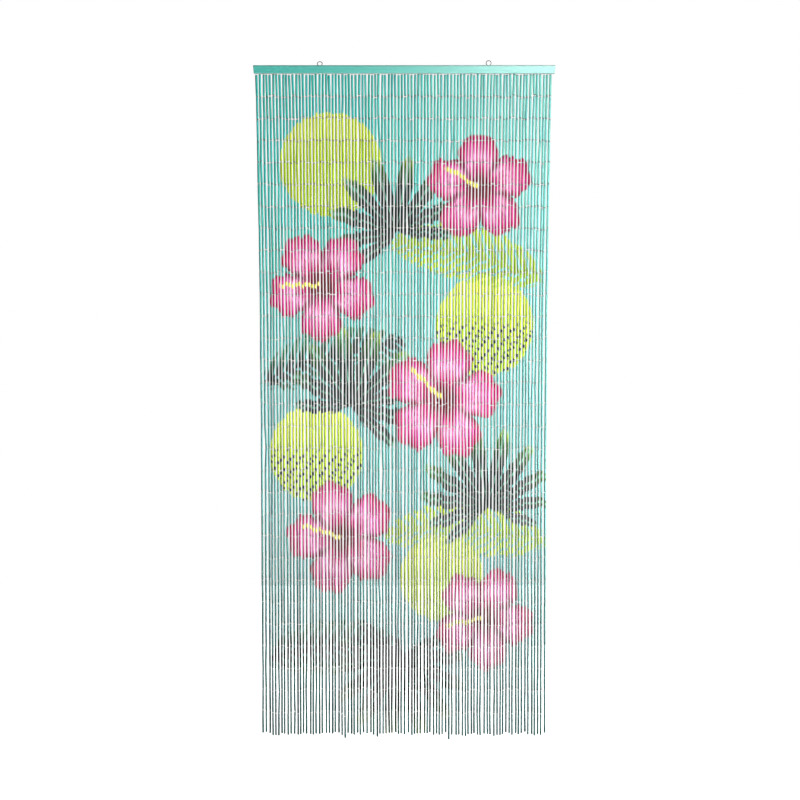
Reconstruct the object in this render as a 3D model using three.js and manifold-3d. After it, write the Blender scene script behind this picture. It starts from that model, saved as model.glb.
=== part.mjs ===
// Bamboo strand door curtain on a rail.
//
// Strands of short bamboo sticks hang side by side under a painted wooden rail, and two wire screw eyes in the
// rail's top edge hold it up. Millimetres, +Z up, +X along the rail, and the front faces -Y. The origin lies
// midway between the two eyes, at the height where the upright eye bears on its hook.

import * as THREE from 'three';
import { mergeVertices } from 'three/addons/utils/BufferGeometryUtils.js';
import Module from 'manifold-3d';

const wasm = await Module();
wasm.setup();

// Gap between two pieces that touch on the real curtain
const CLEARANCE = 0.3;

// Rail: a wooden batten
const RAIL_LENGTH = 900;
const RAIL_HEIGHT = 25;
const RAIL_THICKNESS = 18;
const RAIL_END_SLANT = 2.5; // how much further out the top edge reaches at each end
const RAIL_EDGE = 1; // chamfer around the front and back faces

// Screw eyes: bent wire, one of them leaning back
const EYE_SPACING = 503;
const EYE_OUTSIDE = 17;
const EYE_WIRE = 2.2;
const EYE_SHANK = 14;
const EYES = [
  { name: 'screw_eye_left', side: -1, leanBack: 32 },
  { name: 'screw_eye_right', side: 1, leanBack: 0 },
];

// Strands: chains of bamboo sticks
const STRAND_COUNT = 90;
const STRAND_PITCH = 9.69;
const STICK_DIAMETER = 6;
const STICKS_PER_STRAND = 30;
const STICK_PITCH = 65.5;
const STICK_LINK = 3.5; // bare wire between two sticks
const STRAND_TOP_GAP = 6; // from the rail down to the first stick
const STRAND_TOP_UNEVEN = 2.5; // how much higher or lower a strand may start
const STRAND_STRETCH = 0.003; // share by which a strand may be longer or shorter
const STRAND_SIDES = 6;

// The wire under the rail that the strands hang from, and the wire from it to each first stick
const HANGING_WIRE = 2;
const NECK_DIAMETER = 1.6;

// How the strands hang. drop is a share of a strand's length. width is the curtain's width there against its
// width at the rail. sideways and depth are how far a strand may stray from its even place.
const HANG_LEVELS = [
  { drop: 0, width: 1, sideways: 0.4, depth: 0.5 },
  { drop: 0.33, width: 0.994, sideways: 0.9, depth: 1.2 },
  { drop: 0.67, width: 0.985, sideways: 1.2, depth: 1.6 },
  { drop: 1, width: 0.974, sideways: 1.5, depth: 2 },
];

// Uses of the fixed numbers that make the strands uneven. A level's stray adds its own place in the table.
const USE_TOP = 1;
const USE_STRETCH = 2;
const USE_SIDEWAYS = 10;
const USE_DEPTH = 20;
const SCATTER = { perStrand: 12.9898, perUse: 78.233, gain: 43758.5453 };

// Heights worked out from the sizes above
const EYE_WIRE_RADIUS = EYE_WIRE / 2;
const EYE_RING_RADIUS = EYE_OUTSIDE / 2 - EYE_WIRE_RADIUS;
const EYE_FOOT_Z = EYE_WIRE_RADIUS - 2 * EYE_RING_RADIUS;
const RAIL_TOP_Z = EYE_FOOT_Z - EYE_WIRE_RADIUS - CLEARANCE;
const RAIL_BOTTOM_Z = RAIL_TOP_Z - RAIL_HEIGHT;
const WIRE_TOP_Z = RAIL_BOTTOM_Z - CLEARANCE;
const WIRE_BOTTOM_Z = WIRE_TOP_Z - HANGING_WIRE;

const MATERIALS = {
  rail: new THREE.MeshStandardMaterial({ color: 0x5dc8b9, roughness: 0.45, metalness: 0 }),
  strands: new THREE.MeshStandardMaterial({ color: 0x7ed0c4, roughness: 0.5, metalness: 0 }),
  eye: new THREE.MeshStandardMaterial({ color: 0x8a8f8c, roughness: 0.35, metalness: 1 }),
};

// A closed geometry as a solid that can be joined and cut: shared vertices merged, empty triangles dropped.
function solidFrom(geometry) {
  const plain = geometry.clone();
  plain.deleteAttribute('normal');
  plain.deleteAttribute('uv');
  const merged = mergeVertices(plain);
  const corners = merged.index.array;
  const kept = [];
  for (let i = 0; i < corners.length; i += 3) {
    const [a, b, c] = corners.slice(i, i + 3);
    if (a !== b && b !== c && c !== a) kept.push(a, b, c);
  }
  const vertProperties = new Float32Array(merged.attributes.position.array);
  const triVerts = new Uint32Array(kept);
  return new wasm.Manifold(new wasm.Mesh({ numProp: 3, vertProperties, triVerts }));
}

// A solid back as a geometry.
function geometryFrom(solid) {
  const { vertProperties, triVerts } = solid.getMesh();
  const geometry = new THREE.BufferGeometry();
  geometry.setAttribute('position', new THREE.BufferAttribute(vertProperties, 3));
  geometry.setIndex(new THREE.BufferAttribute(triVerts, 1));
  geometry.computeVertexNormals();
  return geometry;
}

// A round bar along Z, from its foot up.
function bar(radius, length, sides, foot) {
  const geometry = new THREE.CylinderGeometry(radius, radius, length, sides);
  return geometry.rotateX(Math.PI / 2).translate(0, 0, foot + length / 2);
}

// The rail's front outline with its slanted ends, given its thickness and chamfered edges, and bored for the eyes.
function railGeometry() {
  const topHalf = RAIL_LENGTH / 2 - RAIL_EDGE;
  const bottomHalf = topHalf - RAIL_END_SLANT;
  const outline = new THREE.Shape([
    new THREE.Vector2(-bottomHalf, RAIL_BOTTOM_Z + RAIL_EDGE),
    new THREE.Vector2(bottomHalf, RAIL_BOTTOM_Z + RAIL_EDGE),
    new THREE.Vector2(topHalf, RAIL_TOP_Z - RAIL_EDGE),
    new THREE.Vector2(-topHalf, RAIL_TOP_Z - RAIL_EDGE),
  ]);
  const batten = new THREE.ExtrudeGeometry(outline, {
    depth: RAIL_THICKNESS - 2 * RAIL_EDGE,
    bevelThickness: RAIL_EDGE,
    bevelSize: RAIL_EDGE,
    bevelSegments: 1,
  });
  batten.rotateX(Math.PI / 2).translate(0, RAIL_THICKNESS / 2 - RAIL_EDGE, 0);

  const boreDepth = EYE_SHANK + CLEARANCE;
  const boreRadius = EYE_WIRE_RADIUS + CLEARANCE;
  const overcut = RAIL_EDGE;
  let rail = solidFrom(batten);
  for (const { side } of EYES) {
    const bore = bar(boreRadius, boreDepth + overcut, 8, RAIL_TOP_Z - boreDepth);
    bore.translate((side * EYE_SPACING) / 2, 0, 0);
    rail = rail.subtract(solidFrom(bore));
  }
  return geometryFrom(rail);
}

// A screw eye around the foot of its ring: the ring leans back from there, and the shank goes straight down.
function screwEyeGeometry(leanBack) {
  const ring = new THREE.TorusGeometry(EYE_RING_RADIUS, EYE_WIRE_RADIUS, 8, 20);
  ring.rotateX(Math.PI / 2).translate(0, 0, EYE_RING_RADIUS);
  ring.rotateX(-THREE.MathUtils.degToRad(leanBack));
  const shankLength = EYE_SHANK + EYE_WIRE_RADIUS + CLEARANCE;
  const shank = bar(EYE_WIRE_RADIUS, shankLength, 8, -shankLength);
  return geometryFrom(solidFrom(ring).add(solidFrom(shank)));
}

// A fixed number between -1 and 1 for a strand and a use, so that the curtain hangs unevenly, always alike.
function uneven(strand, use) {
  const wave = Math.sin(strand * SCATTER.perStrand + use * SCATTER.perUse) * SCATTER.gain;
  return 2 * (wave - Math.floor(wave)) - 1;
}

// Where a strand's centre line is at one of the levels that it hangs through.
function strandAtLevel(strand, level) {
  const { width, sideways, depth } = HANG_LEVELS[level];
  const evenX = (strand - (STRAND_COUNT - 1) / 2) * STRAND_PITCH * width;
  return {
    x: evenX + sideways * uneven(strand, USE_SIDEWAYS + level),
    y: depth * uneven(strand, USE_DEPTH + level),
  };
}

// One strand: a wire neck up into the hanging wire, then the sticks as one bar that bends at each level.
function strandGeometry(strand) {
  const stickTop = RAIL_BOTTOM_Z - STRAND_TOP_GAP + STRAND_TOP_UNEVEN * uneven(strand, USE_TOP);
  const stretch = 1 + STRAND_STRETCH * uneven(strand, USE_STRETCH);
  const length = STICKS_PER_STRAND * STICK_PITCH * stretch - STICK_LINK;
  const neckTop = WIRE_BOTTOM_Z + HANGING_WIRE / 2;
  const heights = HANG_LEVELS.map(({ drop }) => stickTop - drop * length);
  const stickEnd = heights.at(-1);

  const neckRadius = NECK_DIAMETER / 2;
  const stickRadius = STICK_DIAMETER / 2;
  const profile = [
    new THREE.Vector2(0, stickEnd),
    ...heights.map((height) => new THREE.Vector2(stickRadius, height)).reverse(),
    new THREE.Vector2(neckRadius, stickTop),
    new THREE.Vector2(neckRadius, neckTop),
    new THREE.Vector2(0, neckTop),
  ];
  const geometry = new THREE.LatheGeometry(profile, STRAND_SIDES).rotateX(Math.PI / 2);

  const { position } = geometry.attributes;
  for (let i = 0; i < position.count; i++) {
    const z = position.getZ(i);
    const below = heights.findIndex((height) => z >= height - CLEARANCE / 2);
    const place = strandAtLevel(strand, below);
    position.setX(i, position.getX(i) + place.x);
    position.setY(i, position.getY(i) + place.y);
  }
  return geometry;
}

// All strands as one comb: the hanging wire is its back, and each strand is a tooth.
function strandsGeometry() {
  const wireLength = (STRAND_COUNT - 1) * STRAND_PITCH + STICK_DIAMETER;
  const wire = new THREE.BoxGeometry(wireLength, HANGING_WIRE, HANGING_WIRE);
  wire.translate(0, 0, WIRE_TOP_Z - HANGING_WIRE / 2);
  let comb = solidFrom(wire);
  for (let strand = 0; strand < STRAND_COUNT; strand++) {
    comb = comb.add(solidFrom(strandGeometry(strand)));
  }
  return geometryFrom(comb);
}

function piece(name, geometry, material) {
  const mesh = new THREE.Mesh(geometry, material);
  mesh.name = name;
  return mesh;
}

const curtain = new THREE.Group();
curtain.add(piece('rail', railGeometry(), MATERIALS.rail));
for (const { name, side, leanBack } of EYES) {
  const eye = piece(name, screwEyeGeometry(leanBack), MATERIALS.eye);
  eye.position.set((side * EYE_SPACING) / 2, 0, EYE_FOOT_Z);
  curtain.add(eye);
}
curtain.add(piece('strands', strandsGeometry(), MATERIALS.strands));

export default curtain;
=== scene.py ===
"""Bamboo strand door curtain on a rail, laid out as a Blender add-on.

Ninety strands of short painted bamboo sticks hang under a painted wooden rail. Wire rings link the sticks
end to end, and two wire screw eyes in the rail's top edge hold the curtain up. Metres, +Z up, +X along the
rail, and the front faces -Y. The origin lies midway between the two eyes.
"""

from collections import namedtuple
from functools import partialmethod
from math import cos, pi, radians, sin

import bpy
import numpy as np
from bpy.props import FloatProperty, FloatVectorProperty, IntProperty, PointerProperty
from bpy.types import Operator, Panel, PropertyGroup
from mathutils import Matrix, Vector


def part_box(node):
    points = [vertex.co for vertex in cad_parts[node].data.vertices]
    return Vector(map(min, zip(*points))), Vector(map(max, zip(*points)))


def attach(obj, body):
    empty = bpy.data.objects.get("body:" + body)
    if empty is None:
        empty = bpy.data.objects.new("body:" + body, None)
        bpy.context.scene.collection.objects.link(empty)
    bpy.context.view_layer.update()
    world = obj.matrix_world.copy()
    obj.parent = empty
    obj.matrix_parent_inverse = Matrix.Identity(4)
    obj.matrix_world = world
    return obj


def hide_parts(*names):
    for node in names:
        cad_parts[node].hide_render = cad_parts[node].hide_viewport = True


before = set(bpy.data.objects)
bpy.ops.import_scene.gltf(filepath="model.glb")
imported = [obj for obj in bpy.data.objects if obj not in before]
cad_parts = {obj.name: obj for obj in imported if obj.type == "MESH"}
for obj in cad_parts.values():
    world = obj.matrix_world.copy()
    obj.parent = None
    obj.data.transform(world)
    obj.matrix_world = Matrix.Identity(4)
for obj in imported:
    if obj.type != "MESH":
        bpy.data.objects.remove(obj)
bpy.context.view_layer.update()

bl_info = {
    "name": "Bamboo strand curtain",
    "version": (1, 0, 0),
    "blender": (4, 5, 0),
    "location": "3D View > Sidebar > Curtain",
    "description": "Builds a bamboo strand door curtain: its rail, screw eyes, sticks, links and stage",
    "category": "Add Mesh",
}

MM = 0.001

# Places and sizes taken from the frame
RAIL_LOW, RAIL_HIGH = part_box("rail")
STRANDS_LOW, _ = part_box("strands")
LEFT_EYE_LOW, LEFT_EYE_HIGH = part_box("screw_eye_left")
RIGHT_EYE_LOW, RIGHT_EYE_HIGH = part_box("screw_eye_right")
EYE_WIRE = RIGHT_EYE_HIGH.y - RIGHT_EYE_LOW.y
EYE_OUTSIDE = RIGHT_EYE_HIGH.x - RIGHT_EYE_LOW.x
EYE_SUNK = 2.0 * MM  # how much deeper the eyes are screwed in than the frame's eyes
EYE_FOOT = RIGHT_EYE_HIGH.z - EYE_OUTSIDE + EYE_WIRE / 2 - EYE_SUNK

# The rail's shape
ARC_STEPS = 4
GUARD = 1.0 * MM  # from a rounding to the guard line that keeps the flat beside it flat
RAIL_BAYS = 12

# A screw eye's shape
EYE_SIDES = 12
EYE_STEPS = 44
EYE_BEND_STEPS = 8
EYE_SHANK_STEPS = 4
EYE_BEND_START = 2.4 * MM  # below the ring's foot, where the shank begins to bend
EYE_BEND_PULL = 2.6 * MM  # how strongly the bend keeps the shank's and the ring's direction
EYE_RING_START = radians(-52)
TIP_REACH = np.array([0.42, 0.25])  # how far a rounded tip's two rings lie beyond it, against the radius
TIP_THICKNESS = np.array([0.45, 0.8])  # their thickness against the wire's
TIP_POLE = 0.5  # how far its end lies beyond it

# How the strands hang. drop is a share of a strand's length. width is the curtain's width there against its
# width at the rail. sideways and depth are how far a strand may stray from its even place.
HangLevel = namedtuple("HangLevel", "drop width sideways depth")
HANG_LEVELS = (
    HangLevel(drop=0.00, width=1.000, sideways=0.4 * MM, depth=0.5 * MM),
    HangLevel(drop=0.09, width=0.991, sideways=0.7 * MM, depth=0.7 * MM),
    HangLevel(drop=0.34, width=0.970, sideways=1.2 * MM, depth=1.2 * MM),
    HangLevel(drop=0.60, width=0.960, sideways=1.8 * MM, depth=1.6 * MM),
    HangLevel(drop=1.00, width=0.954, sideways=2.6 * MM, depth=2.0 * MM),
)
STRAND_PITCH = 9.84 * MM
STRAND_ASIDE = -2.0 * MM  # how far the strands hang to the right of the rail's middle
STICK_PITCH = 65.4 * MM
TOP_UNEVEN = 2.0 * MM  # how much higher or lower a strand may start
STRETCH = 0.0022  # share by which a strand may be longer or shorter
LONG_STRETCH = 0.0075  # share by which a few strands may be longer still
LONG_POWER = 4  # the higher, the fewer they are
JOINT_UNEVEN = 3.2 * MM  # how much higher or lower a joint may lie
JOINT_STRAY = (0.35 * MM, 0.7 * MM)  # how far a usual joint may stray sideways and in depth
RARE_STRAY = 2.6 * MM  # how far a few joints stray sideways
RARE_POWER = 25  # the higher, the fewer they are
TOP_STRAY = 1.5 * MM  # how far a strand's top joint may stray sideways
LINK_WIDER = 5  # by how many usual gaps the widest gap between two sticks is wider
LINK_POWER = 4  # the higher, the fewer wide gaps there are
LINK_LOWEST = 0.25  # share of that widening that is left at the lowest joints
SIDE_GAP = 0.2 * MM  # least gap between two strands
SPREAD_PASSES = 12

# Uses of the fixed numbers that make the strands uneven. A level's stray adds its own place in the table.
USE_TOP = 1
USE_STRETCH = 2
USE_LONG = 3
USE_SIDEWAYS = 10
USE_DEPTH = 20
SCATTER_STRAND = 12.9898
SCATTER_USE = 78.233
SCATTER_GAIN = 43758.5453
SEED = 20

# The sticks are made in bays of neighbouring strands, and the links in wider bays
STRANDS_PER_BAY = 6
STRANDS_PER_LINK_BAY = 30

# A stick's shape
STICK_SIDES = 8
STICK_RINGS = 8
BOWED_RINGS = (3, 4)  # the two rings within its length
FLAT_ROWS = (0, 1, 5, 6)  # the rows of faces at its two ends, which aren't shaded round
STICK_PIT = 3.0 * MM  # depth of the hollow in each sawn end
STICK_MOUTH = 1.75 * MM  # radius of that hollow
STICK_CHAMFER = 0.45 * MM  # length of the chamfer at each end
STICK_INSET = 0.8 * STICK_CHAMFER  # how far the chamfer goes in
STICK_THIRD = 0.34  # share of the length between an end and the ring next to it
STICK_SWELL = 0.02  # share by which one of those rings may be thicker and the other thinner
STICK_OVAL = 0.03  # share by which a stick is out of round
STICK_THICKER = 0.05  # share by which a stick may be thicker or thinner
STICK_SLIMMER = 0.20  # share by which the lowest sticks are slimmer than the top ones
STICK_BOW = 0.10 * MM  # how far a stick's middle bows out

# A link ring's shape, and the rings at the two ends of a strand
RING_STEPS = 8
RING_SIDES = 4
STAPLE_DROP = 0.6 * MM  # from the rail down to the middle of a staple
TOP_HELD = 0.6 * MM  # how far the long ring under a staple reaches into the first stick
TAIL_HELD = 0.7 * MM  # how far the ring that ends a strand reaches into the last stick
TAIL_RANGE = (2.0, 3.2)  # half that ring's length, against a usual ring's radius
TAIL_ROUND = 0.7  # that ring's width against its length

# Bake maps: each stick and each ring has its own cell, with a margin
BAKE_MAP = "OFBake"
STICK_CELLS = (24, 8)
STICK_MARGIN = (0.05, 0.015)
STICK_END_ON_MAP = 0.6 * MM  # what an end face and a chamfer each take up on the map
RING_CELLS = (43, 43)
RING_MARGIN = (0.08, 0.08)

# Print: motifs are placed by their distance across from the curtain's middle and their drop below the rail
Flower = namedtuple("Flower", "across drop radius turn")
Fan = namedtuple("Fan", "across drop radius turn fingers")
Frond = namedtuple("Frond", "across drop length width turn bend dark")
Disc = namedtuple("Disc", "across drop radius dotted")

DISCS = (
    Disc(across=-0.22, drop=0.27, radius=0.155, dotted=False),
    Disc(across=0.25, drop=0.75, radius=0.150, dotted=True),
    Disc(across=-0.27, drop=1.13, radius=0.145, dotted=True),
    Disc(across=0.12, drop=1.50, radius=0.130, dotted=False),
)
FRONDS = (
    Frond(across=0.42, drop=0.62, length=0.46, width=0.085, turn=152, bend=0.5, dark=False),
    Frond(across=-0.43, drop=0.92, length=0.44, width=0.080, turn=28, bend=-0.5, dark=True),
    Frond(across=0.44, drop=1.40, length=0.48, width=0.085, turn=160, bend=0.6, dark=False),
    Frond(across=-0.42, drop=1.74, length=0.42, width=0.080, turn=14, bend=-0.4, dark=True),
)
FANS = (
    Fan(across=-0.02, drop=0.47, radius=0.23, turn=108, fingers=13),
    Fan(across=-0.16, drop=0.99, radius=0.24, turn=70, fingers=13),
    Fan(across=0.26, drop=1.29, radius=0.24, turn=100, fingers=15),
    Fan(across=-0.01, drop=1.73, radius=0.25, turn=262, fingers=15),
)
FLOWERS = (
    Flower(across=0.23, drop=0.34, radius=0.160, turn=20),
    Flower(across=-0.25, drop=0.63, radius=0.165, turn=52),
    Flower(across=0.12, drop=0.97, radius=0.180, turn=8),
    Flower(across=-0.19, drop=1.38, radius=0.170, turn=36),
    Flower(across=0.25, drop=1.62, radius=0.155, turn=62),
)
PRINT_SOFT = 5 * MM  # how far the colours bleed at an edge

# Repeats and outlines in the motifs. A pair says from where to where something comes in or fades out.
DOT_ROWS = 26 * MM
DOT_COLUMNS = 32 * MM
DOT_SLANT = 0.5
DOT_EDGE = (0.20, 0.45)
DOT_FADE = (0.25, -0.10)  # shares of the disc's radius
LEAFLET_PITCH = 34 * MM
LEAFLET_SLANT = 0.9
LEAFLET_EDGE = (0.30, 0.62)
FROND_POWER = 0.55  # the lower, the blunter the leaf's two ends
SPINE_EDGE = (7 * MM, 3 * MM)
SPINE_START = (-0.02, 0.02)  # shares of the leaf's length
SPINE_END = (1.0, 0.96)
FAN_SPREAD = radians(128)  # from the middle finger to the last one
FAN_NOTCH = 0.30  # share of the radius at the foot of the notches
FAN_POWER = 0.85  # the lower, the broader the fingers
FAN_SHORTER = 0.36  # share by which the last fingers are shorter
FAN_EDGE = (1.03, 0.96)
FAN_SIDE_EDGE = (FAN_SPREAD + 0.06, FAN_SPREAD - 0.06)
RIB_EDGE = (0.975, 1.0)
RIB_START = (0.06, 0.20)
RIB_STRENGTH = 0.75
PETALS = 5
PETAL_NOTCH = 0.5  # share of the radius at the foot of the folds
PETAL_POWER = 0.45  # the lower, the broader the petals
PETAL_EDGE = (1.025, 0.975)
FRILLS = 15
FRILL_HEIGHT = 0.03
VEINS = 35
VEIN_EDGE = (0.1, 1.0)
VEIN_START = (0.2, 0.5)
VEIN_STRENGTH = 0.35
FOLD_EDGE = (0.55, 0.10)
FOLD_STRENGTH = 0.75
STALK_TURN = 128  # degrees from the flower's own turn
STALK_EDGE = (8 * MM, 4 * MM)
STALK_START = (0, 10 * MM)
STALK_END = (0.80, 0.72)  # shares of the flower's radius

# Finishes. A stray is the whole range in which a stick may differ.
PAINTED_LIGHT_ACROSS = (-0.25, 0.5)  # where the ground gets paler: painted light from the right
GREYER_DROP = (0.2, 1.1)  # where the ground gets greyer: painted shade lower down
DARKER_DROP = (1.05, 1.95)  # where the whole print gets darker and duller: painted shade towards the bottom
DARKER = 0.68
DULLER = 0.15
HUE_STRAY = 0.02
TONE_STRAY = 0.16
GRAIN_TONE = 0.08
STICK_GRAIN = (1500, 1500, 30)  # repeats a metre along each axis
GRIME_AND_SHADE_REACH = (2.6 * MM, 0.6 * MM)  # from a stick's end, where grime and painted shade darken it
GRIME_AND_SHADE_LEAST = 0.2
GRIME_AND_SHADE_STRAY = 0.7
FAINTER_ENDS_DROP = (0.3, 1.3)  # where the grime and painted shade at the sticks' ends get fainter
FAINTER_ENDS = 0.7
SAWN_REACH = (0.35 * MM, 0.05 * MM)  # from a stick's end
BUMP_HEIGHT = 0.3 * MM

RAIL_GRAIN = (7, 420, 420)
RAIL_BRUSH = (26, 900, 900)
EDGE_SHADE_DEPTH = (4.5 * MM, 2.5 * MM)  # below the rail's top, where painted shade darkens the upper edges
EDGE_SHADE_WIDTH = (3.0 * MM, 1.0 * MM)  # in from its front and back
EDGE_SHADE_STRENGTH = 0.55
UNDERSIDE = (1.6 * MM, 0.5 * MM)  # above the rail's bottom, where the underside is painted paler as painted light from the floor
BRUSH_GLOSS = 0.14  # how far the roughness follows the brush marks

DULL_PATCHES = (260, 260, 260)
FLOOR_MOTTLE = (0.8, 0.8, 0.8)

# Stage. A light's power is in the settings under its name. spread is the angle of its beam in degrees, and
# shiny says whether it shows in gloss.
Light = namedtuple("Light", "name place aim width height spread shiny")
LIGHTS = (
    Light("key", (3.6, -3.2, 0.0), (0.0, 0.0, -0.6), 1.8, 1.8, 180, True),
    Light("front", (0.85, -3.0, 0.3), (0.0, 0.0, -0.7), 1.1, 0.8, 180, True),
    Light("side", (2.4, -1.0, -1.5), (0.0, 0.0, -1.5), 0.8, 1.8, 70, True),
    Light("rim", (2.0, 1.5, -1.5), (0.0, 0.0, -1.4), 1.2, 1.6, 180, True),
    Light("back", (-0.8, 3.4, 0.2), (0.0, 0.0, -1.0), 1.8, 1.8, 180, False),
)
BOUNCE_POWER = 4  # the higher, the more upright the light from above and below
FLOOR_SIZE = 16.0
CAMERA_ACROSS = -12.5 * MM
CAMERA_HEIGHT = -1.0114
SENSOR = 36  # millimetres


def srgb(red, green, blue):
    """A colour of 0 to 255 as seen on a screen, in the linear numbers that Blender works in."""
    seen = np.array((red, green, blue)) / 255
    linear = np.where(seen <= 0.04045, seen / 12.92, ((seen + 0.055) / 1.055) ** 2.4)
    return (*linear.tolist(), 1.0)


# Tints beside those in the settings
LIME_MIDDLE = srgb(176, 206, 20)
LIME_TOP = srgb(198, 220, 64)
FROND_GREEN = srgb(46, 128, 92)
FROND_OLIVE = srgb(138, 176, 20)
FAN_HUB = srgb(0, 22, 20)
FAN_GREEN = srgb(36, 104, 28)
FAN_TIP = srgb(158, 190, 14)
FAN_RIB = srgb(108, 178, 150)
FLOWER_HEART = srgb(96, 8, 40)
PETAL_ROSE = srgb(222, 92, 164)
PETAL_RIM = srgb(146, 10, 50)
PETAL_VEIN = srgb(200, 44, 112)
STALK_YELLOW = srgb(240, 232, 96)
# Grime and painted shade at the sticks' ends
GRIME_AND_SHADE = srgb(24, 44, 40)
RAIL_GREEN = srgb(76, 202, 186)  # in the grain lines
# Painted shade along the rail's upper edges
EDGE_SHADE_GREEN = srgb(72, 112, 104)
# Painted light from the floor on the rail's underside
UNDERSIDE_FLOOR_LIGHT = srgb(225, 252, 247)
DULL_STEEL = srgb(96, 96, 90)


def properties(maker, **settings):
    """A maker of properties of one kind, each from its name, description and default."""

    def make(name, description, default):
        return maker(name=name, description=description, default=default, **settings)

    return make


size = properties(FloatProperty, subtype="DISTANCE", min=0)
turn = properties(FloatProperty, subtype="ANGLE")
share = properties(FloatProperty, subtype="FACTOR", min=0, max=1)
watts = properties(FloatProperty, subtype="POWER", min=0)
whole = properties(IntProperty, min=1)
colour = properties(FloatVectorProperty, subtype="COLOR", size=4, min=0, max=1)


class RailSettings(PropertyGroup):
    edge_radius: size("Edge radius", "Rounding of the rail's edges", 1.2 * MM)
    end_slant: size("End slant", "How much further out the top edge reaches at each end", 2.5 * MM)
    paint: colour("Paint", "Satin paint on the rail", srgb(86, 212, 197))
    roughness: share("Roughness", "Roughness of the rail's paint", 0.30)


class EyeSettings(PropertyGroup):
    lean_back: turn("Lean", "How far the left eye leans back", radians(32))
    end_angle: turn("End", "Where the wire of the ring ends", radians(246))
    steel: colour("Steel", "Drawn steel wire", srgb(124, 130, 127))


class StrandSettings(PropertyGroup):
    strands: whole("Strands", "Strands side by side", 90)
    sticks: whole("Sticks", "Sticks in a strand", 30)
    stick_diameter: size("Stick diameter", "Thickness of a usual stick in the top row", 7.2 * MM)
    link_gap: size("Link gap", "Bare wire between two sticks", 0.6 * MM)
    top_gap: size("Top gap", "From the rail down to the first stick", 2.7 * MM)
    link_wire: size("Link wire", "Thickness of the wire rings", 0.8 * MM)
    ring_radius: size("Ring radius", "From a ring's centre to the middle of its wire", 1.2 * MM)


class PrintSettings(PropertyGroup):
    ground: colour("Ground", "Aqua paint of the sticks", srgb(62, 188, 176))
    # Paler to the right as painted light from the right
    ground_pale: colour("Pale ground", "Paler aqua towards the right", srgb(128, 212, 202))
    # Greyer lower down as painted shade
    ground_low: colour("Low ground", "Greyer aqua of the lower sticks", srgb(98, 170, 164))
    petal: colour("Petal", "Pink of the petals", srgb(196, 30, 116))
    petal_pale: colour("Pale petal", "Pale middle of the petals", srgb(244, 152, 206))
    throat: colour("Throat", "Crimson of the flowers' throats and folds", srgb(112, 4, 36))
    leaf: colour("Leaf", "Dark green of the leaves", srgb(0, 40, 36))
    lime: colour("Lime", "Lime of the discs and the pale leaves", srgb(166, 198, 8))
    bare: colour("Bare bamboo", "Sawn ends of the sticks", srgb(128, 112, 84))
    shift: size("Shift", "How far a strand may hang out of line with the print", 5 * MM)


class StageSettings(PropertyGroup):
    distance: size("Camera distance", "From the camera to the curtain", 9.0)
    lens: FloatProperty(name="Lens", description="Focal length in millimetres", default=136, min=1)
    key_power: watts("Key light", "Power of the key light", 108)
    front_power: watts("Front light", "Power of the front light", 28)
    side_power: watts("Side light", "Power of the side light", 26)
    rim_power: watts("Rim light", "Power of the light behind and to the side", 35)
    back_power: watts("Back light", "Power of the light on the back", 50)
    fill: share("Fill", "Brightness of the light from all around", 0.05)
    bounce: share("Bounce", "Brightness of the light from straight above and below", 0.8)
    floor_gap: size("Floor gap", "From the lowest strand of the frame down to the floor", 40 * MM)


class CurtainSettings(PropertyGroup):
    rail: PointerProperty(type=RailSettings)
    eyes: PointerProperty(type=EyeSettings)
    strands: PointerProperty(type=StrandSettings)
    print: PointerProperty(type=PrintSettings)
    stage: PointerProperty(type=StageSettings)


# Shader maths


class Shade:
    """A socket in a node tree. Operators on it add Math nodes."""

    def __init__(self, tree, socket=None):
        self.tree = tree
        self.socket = socket

    def node(self, kind, settings=None, inputs=None, output=0):
        """Adds a node of a type. Its settings are set first, then its sockets are linked or given values."""
        new = self.tree.nodes.new(kind)
        for name, value in (settings or {}).items():
            if name == "stops":
                set_stops(new.color_ramp, value)
            else:
                setattr(new, name, value)
        for key, value in (inputs or {}).items():
            feed(new.inputs[key], value)
        return Shade(self.tree, new.outputs[output] if new.outputs else None)

    def math(self, operation, *values):
        return self.node("ShaderNodeMath", {"operation": operation}, dict(enumerate((self, *values))))

    def reflected(self, operation, first):
        return self.node("ShaderNodeMath", {"operation": operation}, {0: first, 1: self})

    __add__ = partialmethod(math, "ADD")
    __radd__ = partialmethod(reflected, "ADD")
    __sub__ = partialmethod(math, "SUBTRACT")
    __rsub__ = partialmethod(reflected, "SUBTRACT")
    __mul__ = partialmethod(math, "MULTIPLY")
    __rmul__ = partialmethod(reflected, "MULTIPLY")
    __truediv__ = partialmethod(math, "DIVIDE")
    __rtruediv__ = partialmethod(reflected, "DIVIDE")
    __pow__ = partialmethod(math, "POWER")
    __rpow__ = partialmethod(reflected, "POWER")
    __abs__ = partialmethod(math, "ABSOLUTE")
    wave = partialmethod(math, "SINE")

    def rise(self, low, high):
        """0 below low, 1 above high and a smooth step between them. With low above high it falls instead."""
        steps = {"interpolation_type": "SMOOTHSTEP"}
        return self.node("ShaderNodeMapRange", steps, {0: self, 1: low, 2: high})

    def ramp(self, *stops):
        return self.node("ShaderNodeValToRGB", {"stops": stops}, {0: self})

    def blend(self, below, above):
        """Colour above over colour below, as strongly as this value says."""
        return self.node("ShaderNodeMix", {"data_type": "RGBA"}, {0: self, 6: below, 7: above}, output=2)

    def parts(self):
        """The three parts of a vector."""
        split = self.node("ShaderNodeSeparateXYZ", None, {0: self}).socket.node
        return [Shade(self.tree, output) for output in split.outputs]


def feed(socket, value):
    """Links a value of the nodes to a socket, or sets the socket to a number or colour."""
    if isinstance(value, Shade):
        value.tree.links.new(value.socket, socket)
    else:
        socket.default_value = value


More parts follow.
